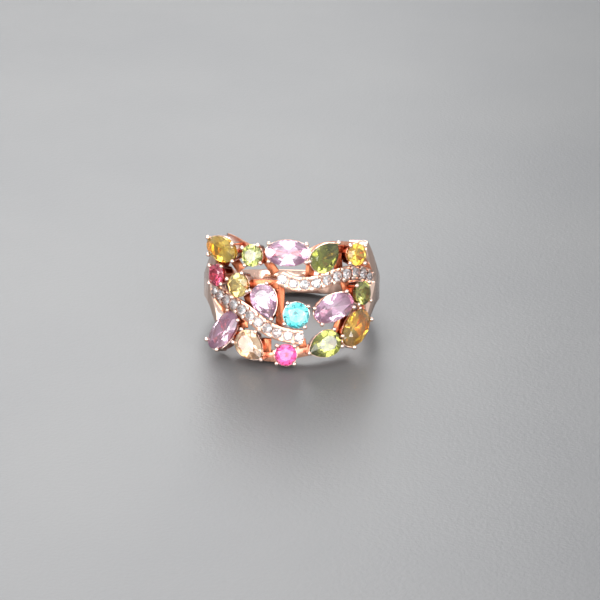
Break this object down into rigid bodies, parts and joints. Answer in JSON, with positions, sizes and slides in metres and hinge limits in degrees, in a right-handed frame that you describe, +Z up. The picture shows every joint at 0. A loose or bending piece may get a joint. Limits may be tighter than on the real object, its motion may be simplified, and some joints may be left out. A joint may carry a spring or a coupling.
{
  "type": "cocktail ring",
  "caption": "Rose gold cocktail ring with a wide openwork head of claw-set coloured stones and two curved rows of small white stones; worn on a finger.",
  "frame": {"origin": "the middle of the finger hole, on its axis, level with the middle of the plain back of the band", "axes": "+Z up, with the ring lying on its side and leaning back; the head faces -Y; +X to the right of someone who looks at the head; the finger hole's axis leans back from +Z towards +Y"},
  "size_m": [0.0208, 0.0238, 0.014],
  "materials": {
    "rose_gold": "polished rose gold",
    "yellow_stone": "faceted and polished",
    "amber_stone": "faceted and polished",
    "lemon_stone": "faceted and polished",
    "olive_stone": "faceted and polished",
    "green_stone": "faceted and polished",
    "pink_stone": "faceted and polished",
    "ruby_stone": "faceted and polished",
    "magenta_stone": "faceted and polished",
    "aqua_stone": "faceted and polished",
    "peach_stone": "faceted and polished",
    "white_stone": "faceted and polished"
  },
  "bodies": {
    "root": {"accent_band_lower": "rose_gold", "accent_band_upper": "rose_gold", "accent_stones_lower": "white_stone", "accent_stones_upper": "white_stone", "bridge_bottom_left": "rose_gold", "bridge_bottom_middle": "rose_gold", "bridge_bottom_right": "rose_gold", "bridge_centre_left": "rose_gold", "bridge_left_lower": "rose_gold", "bridge_left_middle": "rose_gold", "bridge_left_upper": "rose_gold", "bridge_right_lower": "rose_gold", "bridge_right_top": "rose_gold", "bridge_right_upper": "rose_gold", "bridge_top_left": "rose_gold", "bridge_top_right": "rose_gold", "lower_rail": "rose_gold", "setting_amber_bottom_right": "rose_gold", "setting_aqua_centre": "rose_gold", "setting_green_bottom": "rose_gold", "setting_green_right": "rose_gold", "setting_green_top": "rose_gold", "setting_lemon_left": "rose_gold", "setting_magenta_bottom": "rose_gold", "setting_olive_top": "rose_gold", "setting_peach_bottom": "rose_gold", "setting_pink_bottom_left": "rose_gold", "setting_pink_centre": "rose_gold", "setting_pink_right": "rose_gold", "setting_pink_top": "rose_gold", "setting_ruby_left": "rose_gold", "setting_yellow_top_left": "rose_gold", "setting_yellow_top_right": "rose_gold", "shank": "rose_gold", "stone_amber_bottom_right": "amber_stone", "stone_aqua_centre": "aqua_stone", "stone_green_bottom": "green_stone", "stone_green_right": "green_stone", "stone_green_top": "green_stone", "stone_lemon_left": "lemon_stone", "stone_magenta_bottom": "magenta_stone", "stone_olive_top": "olive_stone", "stone_peach_bottom": "peach_stone", "stone_pink_bottom_left": "pink_stone", "stone_pink_centre": "pink_stone", "stone_pink_right": "pink_stone", "stone_pink_top": "pink_stone", "stone_ruby_left": "ruby_stone", "stone_yellow_top_left": "yellow_stone", "stone_yellow_top_right": "yellow_stone", "upper_rail": "rose_gold"}
  },
  "joints": []
}
